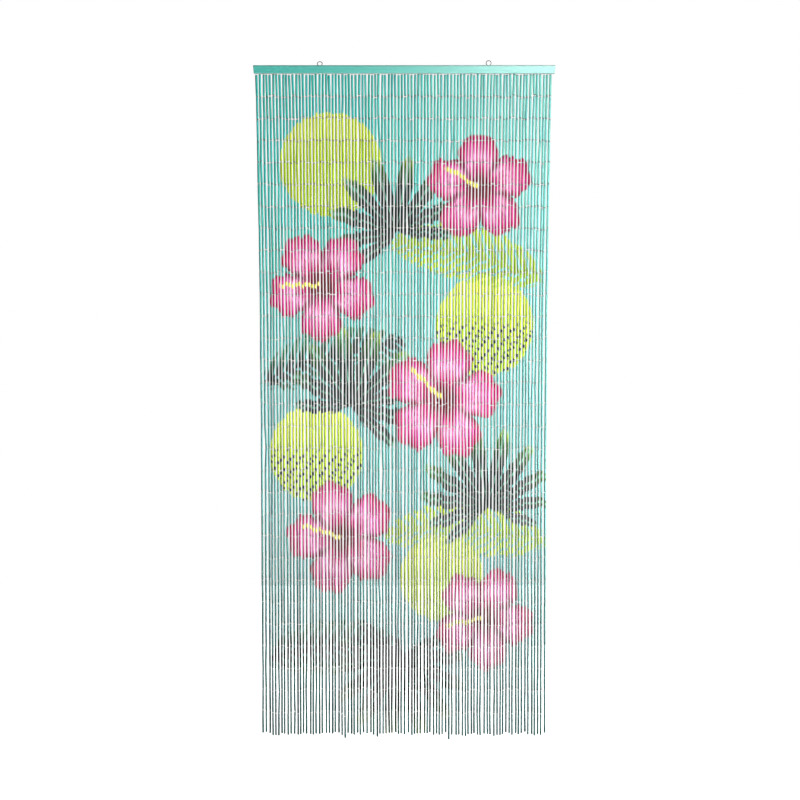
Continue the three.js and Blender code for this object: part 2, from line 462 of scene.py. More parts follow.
def set_stops(ramp, stops):
    """Gives a colour ramp its stops, as pairs of place and colour."""
    while len(ramp.elements) < len(stops):
        ramp.elements.new(1)
    for element, (position, tint) in zip(ramp.elements, stops):
        element.position = position
        element.color = tint


def new_material(name):
    """A material with an empty Principled shader. Returns it, the shader and a start for its nodes."""
    material = bpy.data.materials.new(name)
    material.use_nodes = True
    shader = material.node_tree.nodes["Principled BSDF"]
    return material, shader, Shade(material.node_tree)


def set_shader(shader, sockets):
    for name, value in sockets.items():
        feed(shader.inputs[name], value)


def stretched_noise(start, scale, detail=2, roughness=0.5):
    """Noise on Object coordinates, with its own scale along each axis."""
    coordinates = start.node("ShaderNodeTexCoord", output="Object")
    settings = {"operation": "MULTIPLY"}
    stretched = start.node("ShaderNodeVectorMath", settings, {0: coordinates, 1: scale})
    inputs = {"Vector": stretched, "Scale": 1.0, "Detail": detail, "Roughness": roughness}
    return start.node("ShaderNodeTexNoise", None, inputs)


def bump(height, strength, distance):
    inputs = {"Strength": strength, "Distance": distance, "Height": height}
    return height.node("ShaderNodeBump", None, inputs)


# Print: a printer lays a motif over the paint, by how far right and up a point lies from its centre


def polar(right, up):
    """Distance from a motif's centre, and the angle there from the right."""
    return (right * right + up * up) ** 0.5, up.math("ARCTAN2", right)


def along_and_beside(right, up, degrees):
    """The same place in axes that are turned to the left by an angle."""
    c, s = cos(radians(degrees)), sin(radians(degrees))
    return right * c + up * s, up * c - right * s


def print_disc(paint, right, up, disc, colours):
    """A disc with a soft edge, paler at its top. Where it is dotted, its lower half has dark dots where the
    waves of two slanting repeats are both high or both low."""
    distance, _ = polar(right, up)
    height = up.rise(-disc.radius, disc.radius)
    tint = height.ramp((0.0, colours.lime), (0.6, LIME_MIDDLE), (1.0, LIME_TOP))
    if disc.dotted:
        rows = (up * (2 * pi / DOT_ROWS)).wave()
        columns = ((right + up * DOT_SLANT) * (2 * pi / DOT_COLUMNS)).wave()
        dots = (rows * columns).rise(*DOT_EDGE) * (up / disc.radius).rise(*DOT_FADE)
        tint = dots.blend(tint, colours.leaf)
    return distance.rise(disc.radius + PRINT_SOFT / 2, disc.radius - PRINT_SOFT / 2).blend(paint, tint)


def print_frond(paint, right, up, frond, colours):
    """A feathered leaf: a bent spine with slanting leaflets on both sides, from a repeat along it that lags
    with the distance beside it, inside an outline that swells and narrows again."""
    along, beside = along_and_beside(right, up, frond.turn)
    out = abs(beside - along * along * frond.bend)
    part = along / frond.length
    swell = (part * (1 - part) * 4).math("MAXIMUM", 0.0) ** FROND_POWER
    outline = (swell * frond.width - out).rise(-PRINT_SOFT / 2, PRINT_SOFT / 2)
    leaflets = abs(((along - out * LEAFLET_SLANT) * (pi / LEAFLET_PITCH)).wave()).rise(*LEAFLET_EDGE)
    spine = out.rise(*SPINE_EDGE) * part.rise(*SPINE_START) * part.rise(*SPINE_END)
    deep, light = (colours.leaf, FROND_GREEN) if frond.dark else (FROND_OLIVE, colours.lime)
    tint = (out / frond.width).rise(0.1, 0.9).blend(deep, light)
    return (outline * leaflets).math("MAXIMUM", spine).blend(paint, tint)


def print_fan(paint, right, up, fan, colours):
    """A fan leaf: at the angle a from its middle finger, its edge lies at
    radius * reach * (notch + (1 - notch) * |cos(fingers * a / 2)| ^ power),
    and reach falls with a squared. Dark green at the hub, lime at the tips."""
    distance, angle = polar(right, up)
    turned = (angle - radians(fan.turn)).math("WRAP", pi, -pi)
    finger = abs((turned * (fan.fingers / 2)).math("COSINE"))
    reach = 1 - turned * turned * (FAN_SHORTER / FAN_SPREAD**2)
    edge = (finger**FAN_POWER * (1 - FAN_NOTCH) + FAN_NOTCH) * reach * fan.radius
    inside = (distance / edge).rise(*FAN_EDGE) * abs(turned).rise(*FAN_SIDE_EDGE)
    part = distance / fan.radius
    tint = part.ramp((0.0, FAN_HUB), (0.60, colours.leaf), (0.84, FAN_GREEN), (1.0, FAN_TIP))
    rib = finger.rise(*RIB_EDGE) * part.rise(*RIB_START) * RIB_STRENGTH
    return inside.blend(paint, rib.blend(tint, FAN_RIB))


def print_flower(paint, right, up, flower, colours):
    """A flower: at the angle a, its edge lies at
    radius * (notch + (1 - notch) * |cos(petals * a / 2)| ^ power),
    with a frill. The petals go from a crimson throat through pink and a pale middle to a deep rim, and
    are veined, and darker in the folds between them. A stalk of stamens lies over them."""
    distance, angle = polar(right, up)
    petal = abs(((angle - radians(flower.turn)) * (PETALS / 2)).math("COSINE"))
    frill = (angle * FRILLS).wave() * FRILL_HEIGHT
    edge = (petal**PETAL_POWER * (1 - PETAL_NOTCH) + frill + PETAL_NOTCH) * flower.radius
    part = distance / edge
    tint = part.ramp(
        (0.0, FLOWER_HEART),
        (0.20, colours.throat),
        (0.36, colours.petal),
        (0.58, colours.petal_pale),
        (0.72, PETAL_ROSE),
        (0.88, colours.petal),
        (1.0, PETAL_RIM),
    )
    veins = (angle * VEINS).wave().rise(*VEIN_EDGE) * part.rise(*VEIN_START) * VEIN_STRENGTH
    tint = veins.blend(tint, PETAL_VEIN)
    tint = (petal.rise(*FOLD_EDGE) * FOLD_STRENGTH).blend(tint, colours.throat)
    paint = part.rise(*PETAL_EDGE).blend(paint, tint)

    along, beside = along_and_beside(right, up, flower.turn + STALK_TURN)
    stalk = abs(beside).rise(*STALK_EDGE) * along.rise(*STALK_START)
    stalk = stalk * (along / flower.radius).rise(*STALK_END)
    return stalk.blend(paint, STALK_YELLOW)


# Finishes


def printed_bamboo(colours):
    """Satin paint on bamboo: the print on each stick's own place in it, fine lengthwise grain, a slightly
    other tone on every stick, ends darkened by grime and painted shade, and bare sawn faces. Painted light
    makes the ground paler towards the right, and painted shade makes it greyer lower down and the whole
    print darker and duller near the bottom."""
    material, shader, start = new_material("printed_bamboo")
    place = start.node("ShaderNodeAttribute", {"attribute_name": "place"}, output="Vector")
    across, drop, to_end = place.parts()
    # Painted light makes the ground paler towards the right, and painted shade makes it greyer lower down
    paint = across.rise(*PAINTED_LIGHT_ACROSS).blend(colours.ground, colours.ground_pale)
    paint = drop.rise(*GREYER_DROP).blend(paint, colours.ground_low)
    for printer, motifs in (
        (print_disc, DISCS),
        (print_frond, FRONDS),
        (print_fan, FANS),
        (print_flower, FLOWERS),
    ):
        for motif in motifs:
            paint = printer(paint, across - motif.across, motif.drop - drop, motif, colours)

    nature = start.node("ShaderNodeAttribute", {"attribute_name": "nature"}, output="Vector")
    tone, hue, wear_and_shade = nature.parts()
    grain = stretched_noise(start, STICK_GRAIN, detail=3, roughness=0.6)
    # Painted shade: the whole print is darker and duller near the bottom
    low = drop.rise(*DARKER_DROP)
    stick_tone = tone * TONE_STRAY + (1 - TONE_STRAY / 2)
    grain_tone = grain * GRAIN_TONE + (1 - GRAIN_TONE / 2)
    inputs = {
        "Hue": hue * HUE_STRAY + (0.5 - HUE_STRAY / 2),
        "Saturation": 1 - low * DULLER,
        "Value": stick_tone * grain_tone * (1 - low * DARKER),
        "Color": paint,
    }
    paint = start.node("ShaderNodeHueSaturation", None, inputs)
    # Grime and painted shade darken the sticks' ends, fainter lower down
    fainter_ends = 1 - drop.rise(*FAINTER_ENDS_DROP) * FAINTER_ENDS
    grime_and_shade_mask = to_end.rise(*GRIME_AND_SHADE_REACH) * (wear_and_shade * GRIME_AND_SHADE_STRAY + GRIME_AND_SHADE_LEAST) * fainter_ends
    paint = grime_and_shade_mask.blend(paint, GRIME_AND_SHADE)
    paint = to_end.rise(*SAWN_REACH).blend(paint, colours.bare)
    sockets = {
        "Base Color": paint,
        "Roughness": grain * 0.1 + 0.40,
        "Normal": bump(grain, 0.1, BUMP_HEIGHT),
        "Specular IOR Level": 0.2,
        "Coat Weight": 0.06,
        "Coat Roughness": 0.3,
    }
    set_shader(shader, sockets)
    return material


def rail_paint(settings):
    """Satin paint on a planed batten: grain lines along the rail show faintly in its tone and height, and
    brush marks in its gloss and height. Painted shade darkens the upper edges, and painted light from the
    floor makes the underside paler."""
    material, shader, start = new_material("rail_paint")
    grain = stretched_noise(start, RAIL_GRAIN, detail=4, roughness=0.6)
    brush = stretched_noise(start, RAIL_BRUSH, detail=2)
    _, depth, height = start.node("ShaderNodeTexCoord", output="Object").parts()
    # Painted shade darkens the upper edges
    upper = height.rise(*(RAIL_HIGH.z - below for below in EDGE_SHADE_DEPTH))
    outer = abs(depth).rise(*(RAIL_HIGH.y - inside for inside in EDGE_SHADE_WIDTH))
    # Painted light from the floor makes the underside paler
    under = height.rise(*(RAIL_LOW.z + above for above in UNDERSIDE))
    tint = grain.rise(0.3, 0.7).blend(RAIL_GREEN, settings.paint)
    tint = (upper * outer * EDGE_SHADE_STRENGTH).blend(tint, EDGE_SHADE_GREEN)
    tint = under.blend(tint, UNDERSIDE_FLOOR_LIGHT)
    sockets = {
        "Base Color": tint,
        "Roughness": brush * BRUSH_GLOSS + (settings.roughness - BRUSH_GLOSS / 2),
        "Normal": bump(grain + brush * 0.5, 0.25, BUMP_HEIGHT),
        "Specular IOR Level": 1.0,
        "Coat Weight": 1.0,
        "Coat Roughness": 0.26,
    }
    set_shader(shader, sockets)
    return material


def steel_wire(settings):
    """Drawn steel wire, slightly dulled: patches of a darker, rougher skin."""
    material, shader, start = new_material("steel_wire")
    patches = stretched_noise(start, DULL_PATCHES, detail=3).rise(0.35, 0.7)
    tint = patches.blend(settings.steel, DULL_STEEL)
    set_shader(shader, {"Base Color": tint, "Metallic": 1.0, "Roughness": patches * 0.2 + 0.25})
    return material


def floor_white():
    """Matt white floor that also glows, so that it runs into the white around it."""
    material, shader, start = new_material("floor_white")
    tint = stretched_noise(start, FLOOR_MOTTLE).blend(srgb(240, 240, 240), srgb(246, 246, 246))
    sockets = {
        "Base Color": tint,
        "Roughness": 0.9,
        "Emission Color": srgb(255, 255, 255),
        "Emission Strength": 1.0,
    }
    set_shader(shader, sockets)
    return material


# Meshes

NO_TRIANGLES = np.zeros((0, 3), int)


def put_in_mesh(name, points, triangles, quads, flat=None, chart=None):
    """A mesh from arrays: all the triangles come first, then all the quads. flat says which faces aren't
    shaded round, and chart gives each corner's place on the bake map."""
    corners = np.concatenate([triangles.ravel(), quads.ravel()]).astype(np.int32)
    first_quad = triangles.size
    starts = np.concatenate([np.arange(0, first_quad, 3), np.arange(first_quad, corners.size, 4)])
    mesh = bpy.data.meshes.new(name)
    mesh.vertices.add(len(points))
    mesh.loops.add(len(corners))
    mesh.polygons.add(len(starts))
    mesh.vertices.foreach_set("co", points.astype(np.float32).ravel())
    mesh.loops.foreach_set("vertex_index", corners)
    mesh.polygons.foreach_set("loop_start", starts.astype(np.int32))
    mesh.polygons.foreach_set("use_smooth", np.ones(len(starts), bool) if flat is None else ~flat)
    if chart is not None:
        mesh.uv_layers.new(name=BAKE_MAP).data.foreach_set("uv", chart.astype(np.float32).ravel())
    mesh.update(calc_edges=True)
    if mesh.validate():
        raise RuntimeError(f"the mesh {name} has faults")
    return mesh


def give_attribute(mesh, name, vectors):
    layer = mesh.attributes.new(name, "FLOAT_VECTOR", "POINT")
    layer.data.foreach_set("vector", vectors.astype(np.float32).ravel())


def new_object(name, data):
    made = bpy.data.objects.new(name, data)
    bpy.context.collection.objects.link(made)
    return made


def place_piece(mesh, material, slot, *nodes):
    """An object for a finished mesh, riding on the curtain's one body in place of CAD nodes."""
    mesh.materials.append(material)
    piece = new_object(mesh.name, mesh)
    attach(piece, "root")
    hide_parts(*nodes)


def tube_faces(rings, sides):
    """Faces of a closed tube whose points are a first pole, its rings in order and a last pole: a fan at
    each pole and quads between the rings. They point outwards where the points of a ring run to the left,
    seen from its far end."""
    here = np.arange(sides)
    after = (here + 1) % sides
    last_ring = 1 + (rings - 1) * sides
    first_fan = np.stack([np.zeros(sides, int), 1 + after, 1 + here], axis=1)
    last_fan = np.stack([np.full(sides, last_ring + sides), last_ring + here, last_ring + after], axis=1)
    row = 1 + sides * np.arange(rings - 1)[:, None]
    quads = np.stack([row + here, row + after, row + sides + after, row + sides + here], axis=-1)
    return np.concatenate([first_fan, last_fan]), quads.reshape(-1, 4)


def tube_chart(heights, sides):
    """A flat map of tube_faces: once around the tube is across it, and heights places the poles and rings
    up it. Returns the corners of the fans and of the quads."""
    left = np.arange(sides) / sides
    right = left + 1 / sides
    middle = (left + right) / 2
    level = heights[:, None] * np.ones(sides)
    first_fan = np.stack([middle, level[0], right, level[1], left, level[1]], axis=1)
    last_fan = np.stack([middle, level[-1], left, level[-2], right, level[-2]], axis=1)
    low, high = level[1:-2], level[2:-1]
    left, right = np.broadcast_to(left, low.shape), np.broadcast_to(right, low.shape)
    quads = np.stack([left, low, right, low, right, high, left, high], axis=-1)
    return np.concatenate([first_fan, last_fan]).reshape(-1, 3, 2), quads.reshape(-1, 4, 2)


def loop_shape(steps, sides):
    """Faces of a closed ring of wire whose points run around the wire at each step around the ring, and a
    flat map of them: once around the ring is across it, and once around the wire is up it."""
    step, side = np.meshgrid(np.arange(steps), np.arange(sides), indexing="ij")
    corners = ((step, side), (step + 1, side), (step + 1, side + 1), (step, side + 1))
    faces = np.stack([s % steps * sides + w % sides for s, w in corners], axis=-1)
    chart = np.stack([np.stack([s / steps, w / sides], axis=-1) for s, w in corners], axis=2)
    return faces.reshape(-1, 4), chart.reshape(-1, 4, 2)


def copy_faces(faces, points_each, copies):
    """The faces of many copies of a shape, one after the other."""
    first = points_each * np.arange(copies)
    return (faces + first[:, None, None]).reshape(-1, faces.shape[1])


def copy_chart(chart, cells, margin, copies):
    """The same flat map in one cell for each copy, cells going up the columns of a grid."""
    columns, rows = cells
    number = np.arange(copies)
    cell = np.stack([number // rows, number % rows], axis=1)[:, None, None]
    inset = np.array(margin) + chart * (1 - 2 * np.array(margin))
    return ((cell + inset[None]) / (columns, rows)).reshape(-1, *chart.shape[1:])


def full_turn(steps):
    return np.linspace(0, 2 * pi, steps, endpoint=False)


def unit(vectors):
    return vectors / np.linalg.norm(vectors, axis=-1, keepdims=True)


# Rail


def rounded_section(half_depth, half_height, radius):
    """Once around a rectangle with round corners, as pairs of depth and height: at each corner a quarter
    circle, with a guard point before and after it."""
    quarter = np.linspace(0, pi / 2, ARC_STEPS + 1)
    angles = np.concatenate([quarter[:1], quarter, quarter[-1:]])
    guards = np.concatenate([[-GUARD], np.zeros(ARC_STEPS + 1), [GUARD]])
    turns = (np.arange(4) * pi / 2)[:, None]
    cosine, sine = np.cos(angles + turns), np.sin(angles + turns)
    corner_depth = np.array([1, -1, -1, 1])[:, None] * (half_depth - radius)
    corner_height = np.array([1, 1, -1, -1])[:, None] * (half_height - radius)
    depth = corner_depth + radius * cosine - guards * sine
    height = corner_height + radius * sine + guards * cosine
    return np.stack([depth.ravel(), height.ravel()], axis=1)


def rail_mesh(settings):
    """The rounded section carried along the rail. Near each end it shrinks along a quarter circle, which
    rounds the edges of the end face, and every point slides along by its height, which slants the ends."""
    low, high = np.array(RAIL_LOW), np.array(RAIL_HIGH)
    middle, half = (low + high) / 2, (high - low) / 2
    radius = settings.edge_radius
    section = rounded_section(half[1], half[2], radius)

    bend = np.linspace(0, pi / 2, ARC_STEPS + 1)
    inset_end = np.append(radius * (1 - np.sin(bend)), 0)
    from_end = np.append(radius * (1 - np.cos(bend)), radius + GUARD)
    bays = np.linspace(0, 1, RAIL_BAYS + 1)[1:-1]
    inset = np.concatenate([inset_end, np.zeros(len(bays)), inset_end[::-1]])
    slide = np.concatenate([from_end, np.zeros(len(bays)), -from_end[::-1]])
    part = np.concatenate([np.zeros(len(from_end)), bays, np.ones(len(from_end))])

    depth = section[:, 0] * (1 - inset[:, None] / half[1])
    height = section[:, 1] * (1 - inset[:, None] / half[2])
    reach = half[0] - settings.end_slant * (half[2] - height) / (2 * half[2])
    x = reach * (2 * part[:, None] - 1) + slide[:, None]
    rings = np.stack([x, depth, height], axis=-1)
    end = half[0] - settings.end_slant / 2
    poles = np.array([[-end, 0, 0], [end, 0, 0]])
    points = np.concatenate([poles[:1], rings.reshape(-1, 3), poles[1:]]) + middle
    return put_in_mesh("painted_rail", points, *tube_faces(len(part), len(section)))


# Screw eyes


def eye_path(end_angle, shank):
    """The middle of a screw eye's wire from the shank's tip, as pairs of right and up from the ring's foot:
    a straight shank, a cubic curve out of it and a circle that stops short of the shank."""
    radius = (EYE_OUTSIDE - EYE_WIRE) / 2
    straight_up = np.linspace(-shank, -EYE_BEND_START, EYE_SHANK_STEPS, endpoint=False)
    straight = np.stack([np.zeros(EYE_SHANK_STEPS), straight_up], axis=1)
    angles = np.linspace(EYE_RING_START, end_angle, EYE_STEPS)
    circle = radius * np.stack([np.cos(angles), 1 + np.sin(angles)], axis=1)
    heading = np.array([-sin(EYE_RING_START), cos(EYE_RING_START)])
    start, end = np.array([0, -EYE_BEND_START]), circle[0]
    leaving, arriving = start + (0, EYE_BEND_PULL), end - EYE_BEND_PULL * heading
    t = np.linspace(0, 1, EYE_BEND_STEPS, endpoint=False)[:, None]
    first_half = (1 - t) ** 3 * start + 3 * t * (1 - t) ** 2 * leaving
    bend = first_half + 3 * t**2 * (1 - t) * arriving + t**3 * end
    return np.concatenate([straight, bend, circle])


def eye_mesh(name, right, lean_back, settings, shank):
    """A round wire carried along the eye's path, with rounded tips. Above the ring's foot it leans back."""
    path = eye_path(settings.end_angle, shank)
    heading = unit(np.gradient(path, axis=0))
    radius = EYE_WIRE / 2
    thickness = np.concatenate([TIP_THICKNESS, np.ones(len(path)), TIP_THICKNESS[::-1]]) * radius
    overrun = TIP_REACH * radius
    before = path[0] - overrun[:, None] * heading[0]
    beyond = path[-1] + overrun[::-1, None] * heading[-1]
    first_pole = path[0] - TIP_POLE * radius * heading[0]
    last_pole = path[-1] + TIP_POLE * radius * heading[-1]
    middle = np.concatenate([before, path, beyond])
    heading = np.concatenate([heading[[0, 0]], heading, heading[[-1, -1]]])

    angles = full_turn(EYE_SIDES)
    outward = np.stack([heading[:, 1], -heading[:, 0]], axis=1)
    flat = middle[:, None] + (thickness[:, None] * np.cos(angles))[..., None] * outward[:, None]
    depth = thickness[:, None] * np.sin(angles)
    flat = np.concatenate([first_pole[None], flat.reshape(-1, 2), last_pole[None]])
    depth = np.concatenate([[0], depth.ravel(), [0]])

    lean = np.where(flat[:, 1] > 0, lean_back, 0)
    x = flat[:, 0] + right
    y = depth * np.cos(lean) + flat[:, 1] * np.sin(lean)
    z = flat[:, 1] * np.cos(lean) - depth * np.sin(lean) + EYE_FOOT
    return put_in_mesh(name, np.stack([x, y, z], axis=1), *tube_faces(len(middle), EYE_SIDES))


# Strands


def uneven(strand, use):
    """A fixed number from -1 to 1 for a strand and a use: what is left after the point of a steep sine."""
    wave = np.sin(strand * SCATTER_STRAND + use * SCATTER_USE) * SCATTER_GAIN
    return 2 * (wave - np.floor(wave)) - 1


def even_places(count):
    """Where the strands hang on the rail, left to right of its middle."""
    return (np.arange(count) - (count - 1) / 2) * STRAND_PITCH


def joint_places(settings):
    """The middle of every joint, by strand and from the top down. Each strand runs through its places at
    the hang levels, its joints stray a little from that line, and neighbours are then pushed apart until
    they clear."""
    strand = np.arange(settings.strands)
    joint = np.arange(settings.sticks + 1)
    drops = [level.drop for level in HANG_LEVELS]
    weights = np.stack([np.interp(joint / settings.sticks, drops, row) for row in np.eye(len(drops))])
    even = even_places(settings.strands)
    levels = list(enumerate(HANG_LEVELS))
    x_strays = [level.sideways * uneven(strand, USE_SIDEWAYS + number) for number, level in levels]
    y_strays = [level.depth * uneven(strand, USE_DEPTH + number) for number, level in levels]
    x_lines = [even * level.width + STRAND_ASIDE + stray for level, stray in zip(HANG_LEVELS, x_strays)]

    rng = np.random.default_rng(SEED)
    stray = rng.uniform(-1, 1, (4, len(strand), len(joint)))
    sideways = np.full(len(joint), JOINT_STRAY[0])
    sideways[0] = TOP_STRAY
    x = np.stack(x_lines, axis=1) @ weights + stray[0] * sideways + stray[3] ** RARE_POWER * RARE_STRAY
    y = np.stack(y_strays, axis=1) @ weights + stray[1] * JOINT_STRAY[1]
    top = RAIL_LOW.z - settings.top_gap + settings.link_gap / 2 + TOP_UNEVEN * uneven(strand, USE_TOP)
    long = np.maximum(0, uneven(strand, USE_LONG)) ** LONG_POWER
    pitch = STICK_PITCH * (1 + STRETCH * uneven(strand, USE_STRETCH) + LONG_STRETCH * long)
    inner = (joint > 0) & (joint < settings.sticks)
    z = top[:, None] - pitch[:, None] * joint + stray[2] * JOINT_UNEVEN * inner

    clear = settings.stick_diameter * (1 + STICK_THICKER) + SIDE_GAP
    for _ in range(SPREAD_PASSES):
        push = np.maximum(0, clear - np.diff(x, axis=0)) / 2
        x[:-1] -= push
        x[1:] += push
    return np.stack([x, y, z], axis=-1)


def joint_gaps(settings):
    """The bare wire between the sticks at every joint: usually short, wider at a few joints, and less so
    lower down."""
    rng = np.random.default_rng(SEED + 3)
    wider = LINK_WIDER * rng.uniform(0, 1, (settings.strands, settings.sticks + 1)) ** LINK_POWER
    wider *= np.linspace(1, LINK_LOWEST, settings.sticks + 1)
    wider[:, [0, -1]] = 0
    return settings.link_gap * (1 + wider)


def stick_chart(settings, count):
    """The bake map of a bay of sticks: a cell for each, in which the lengths along its profile go up and
    once around it goes across."""
    third = (STICK_PITCH - settings.link_gap) / 3
    end = (STICK_PIT, STICK_END_ON_MAP, STICK_END_ON_MAP)
    steps = np.array([0, *end, third, third, third, *reversed(end)])
    charts = tube_chart(np.cumsum(steps) / steps.sum(), STICK_SIDES)
    cells = [copy_chart(chart, STICK_CELLS, STICK_MARGIN, count).reshape(-1, 2) for chart in charts]
    return np.concatenate(cells)


def stick_mesh(name, settings, joints, gaps, even, shift, chance):
    """A bay of sticks. Each is a profile turned around the line between its two joints: a hollow in the
    sawn end, the end face, a small chamfer and the length of the stick, which bows, swells and is a little
    oval. Its points keep their place in the print and their distance from its end, and the stick's own
    nature."""
    foot_joint, head_joint = joints[:, 1:].reshape(-1, 3), joints[:, :-1].reshape(-1, 3)
    axis = unit(head_joint - foot_joint)
    foot_gap, head_gap = gaps[:, 1:].reshape(-1, 1) / 2, gaps[:, :-1].reshape(-1, 1) / 2
    foot = foot_joint + axis * foot_gap
    length = np.linalg.norm(head_joint - foot_joint, axis=1) - (foot_gap + head_gap)[:, 0]
    count = len(length)

    sticks_each = joints.shape[1] - 1
    slimmer = np.tile(np.linspace(1, 1 - STICK_SLIMMER, sticks_each), len(joints))
    thick = settings.stick_diameter / 2 * slimmer * (1 + STICK_THICKER * chance["thick"])
    swell = STICK_SWELL * chance["swell"]
    lower, upper = thick * (1 + swell), thick * (1 - swell)
    face, mouth, nothing = thick - STICK_INSET, np.full(count, STICK_MOUTH), np.zeros(count)
    radius = np.stack([mouth, face, thick, lower, upper, thick, face, mouth], axis=1)
    start = np.stack([nothing, nothing, nothing + STICK_CHAMFER, length * STICK_THIRD], axis=1)
    along = np.concatenate([start, length[:, None] - start[:, ::-1]], axis=1)

    right = unit(np.array([1.0, 0, 0]) - axis[:, :1] * axis)
    back = np.cross(axis, right)
    angles = full_turn(STICK_SIDES)
    oval = 1 + STICK_OVAL * np.cos(2 * angles - 2 * pi * chance["oval"][:, None])
    outward = right[:, None] * np.cos(angles)[:, None] + back[:, None] * np.sin(angles)[:, None]
    outward = outward * oval[..., None]
    bow_angle = 2 * pi * chance["bow"][:, None]
    bow = STICK_BOW * (right * np.cos(bow_angle) + back * np.sin(bow_angle))
    bowed = np.isin(np.arange(STICK_RINGS), BOWED_RINGS)
    middle = foot[:, None] + axis[:, None] * along[..., None] + bow[:, None] * bowed[:, None]
    offset = radius[..., None, None] * outward[:, None]
    rings = (middle[:, :, None] + offset).reshape(count, -1, 3)
    first = foot + axis * STICK_PIT
    last = foot + axis * (length[:, None] - STICK_PIT)
    points = np.concatenate([first[:, None], rings, last[:, None]], axis=1)

    fans, quads = tube_faces(STICK_RINGS, STICK_SIDES)
    flat_rows = np.isin(np.arange(STICK_RINGS - 1), FLAT_ROWS).repeat(STICK_SIDES)
    flat = np.concatenate([np.ones(len(fans) * count, bool), np.tile(flat_rows, count)])
    points_each = points.shape[1]
    fans, quads = copy_faces(fans, points_each, count), copy_faces(quads, points_each, count)
    mesh = put_in_mesh(name, points.reshape(-1, 3), fans, quads, flat, stick_chart(settings, count))

    across = np.zeros((count, points_each))
    across[:, 1:-1] = offset[..., 0].reshape(count, -1)
    across += even.repeat(sticks_each)[:, None]
    drop = RAIL_LOW.z - points[..., 2] + shift.repeat(sticks_each)[:, None]
    to_end = np.zeros((count, points_each))
    to_end[:, 1:-1] = np.minimum(along, length[:, None] - along).repeat(STICK_SIDES, axis=1)
    give_attribute(mesh, "place", np.stack([across, drop, to_end], axis=-1))
    nature = np.stack([chance["tone"], chance["hue"], chance["wear_and_shade"]], axis=1)
    give_attribute(mesh, "nature", nature.repeat(points_each, axis=0))
    return mesh


def ring_points(centre, long_way, wide_way, half_length, half_width, wire):
    """Rings of wire: an oval of half_length and half_width around each centre, with a thin circle carried
    along it."""
    turned = full_turn(RING_STEPS)[:, None]
    round_wire = full_turn(RING_SIDES)
    out = wire / 2 * np.cos(round_wire)
    long_part = (half_length[:, None, None] + out) * np.cos(turned)
    wide_part = (half_width[:, None, None] + out) * np.sin(turned)
    thin_part = wire / 2 * np.sin(round_wire)
    thin_way = np.cross(long_way, wide_way)
    return (
        centre[:, None, None]
        + long_part[..., None] * long_way[:, None, None]
        + wide_part[..., None] * wide_way[:, None, None]
        + thin_part[:, None] * thin_way[:, None, None]
    )


def link_mesh(name, settings, joints, turns, tails):
    """The wire of a bay of strands. At a joint two rings hook into each other, one from each stick, at
    right angles. A staple in the rail and a long ring hold the first stick, and a ring of its own length
    ends the strand."""
    radius, wire = settings.ring_radius, settings.link_wire
    apart = (radius - wire / 2) * np.array([0, 0, 1.0])
    inner = joints[:, 1:-1]
    staple, long_ring, tail = joints[:, 0].copy(), joints[:, 0].copy(), joints[:, -1].copy()
    held_in = staple[:, 2] - settings.link_gap / 2 - TOP_HELD
    staple[:, 2] = RAIL_LOW.z - STAPLE_DROP
    hung_from = staple[:, 2] - radius + wire
    long_ring[:, 2] = (hung_from + held_in) / 2
    tail[:, 2] += settings.link_gap / 2 + TAIL_HELD - tails

    usual = np.full(inner.shape[0] * inner.shape[1], radius)
    first = np.full(len(joints), radius)
    turned = turns[:, 1:-1].ravel()
    centres = (staple, long_ring, (inner + apart).reshape(-1, 3), (inner - apart).reshape(-1, 3), tail)
    lengths = (first, (hung_from - held_in) / 2 - wire / 2, usual, usual, tails)
    widths = (first, first, usual, usual, tails * TAIL_ROUND)
    angles = (turns[:, 0], turns[:, 0] + pi / 2, turned, turned + pi / 2, turns[:, -1])
    centre, length, width, angle = map(np.concatenate, (centres, lengths, widths, angles))
    upright = np.broadcast_to([0, 0, 1.0], centre.shape)
    sideways = np.stack([np.cos(angle), np.sin(angle), 0 * angle], axis=1)
    points = ring_points(centre, upright, sideways, length, width, wire)

    count = len(centre)
    faces, chart = loop_shape(RING_STEPS, RING_SIDES)
    quads = copy_faces(faces, RING_STEPS * RING_SIDES, count)
    chart = copy_chart(chart, RING_CELLS, RING_MARGIN, count)
    return put_in_mesh(name, points.reshape(-1, 3), NO_TRIANGLES, quads, chart=chart)


# Operators


def settings_of(context):
    return context.scene.bamboo_curtain


def bays_of(strands, width):
    """The bays of neighbouring strands, each as its number and a slice of the strands."""
    return [(first // width + 1, slice(first, first + width)) for first in range(0, strands, width)]


class CURTAIN_OT_add_rail(Operator):
    """Add the painted rail"""

    bl_idname = "curtain.add_rail"
    bl_label = "Add rail"

    def execute(self, context):
        settings = settings_of(context).rail
        place_piece(rail_mesh(settings), rail_paint(settings), "rail_paint", "rail")
        return {"FINISHED"}


class CURTAIN_OT_add_screw_eyes(Operator):
    """Add the two wire screw eyes, the left one leaning back"""

    bl_idname = "curtain.add_screw_eyes"
    bl_label = "Add screw eyes"

    def execute(self, context):
        settings = settings_of(context).eyes
        steel = steel_wire(settings)
        eyes = (
            ("wire_eye_left", "screw_eye_left", LEFT_EYE_LOW, LEFT_EYE_HIGH, settings.lean_back),
            ("wire_eye_right", "screw_eye_right", RIGHT_EYE_LOW, RIGHT_EYE_HIGH, 0),
        )
        for name, node, low, high, lean_back in eyes:
            middle = (low.x + high.x) / 2
            shank = EYE_FOOT - low.z
            place_piece(eye_mesh(name, middle, lean_back, settings, shank), steel, "steel_wire", node)
        return {"FINISHED"}


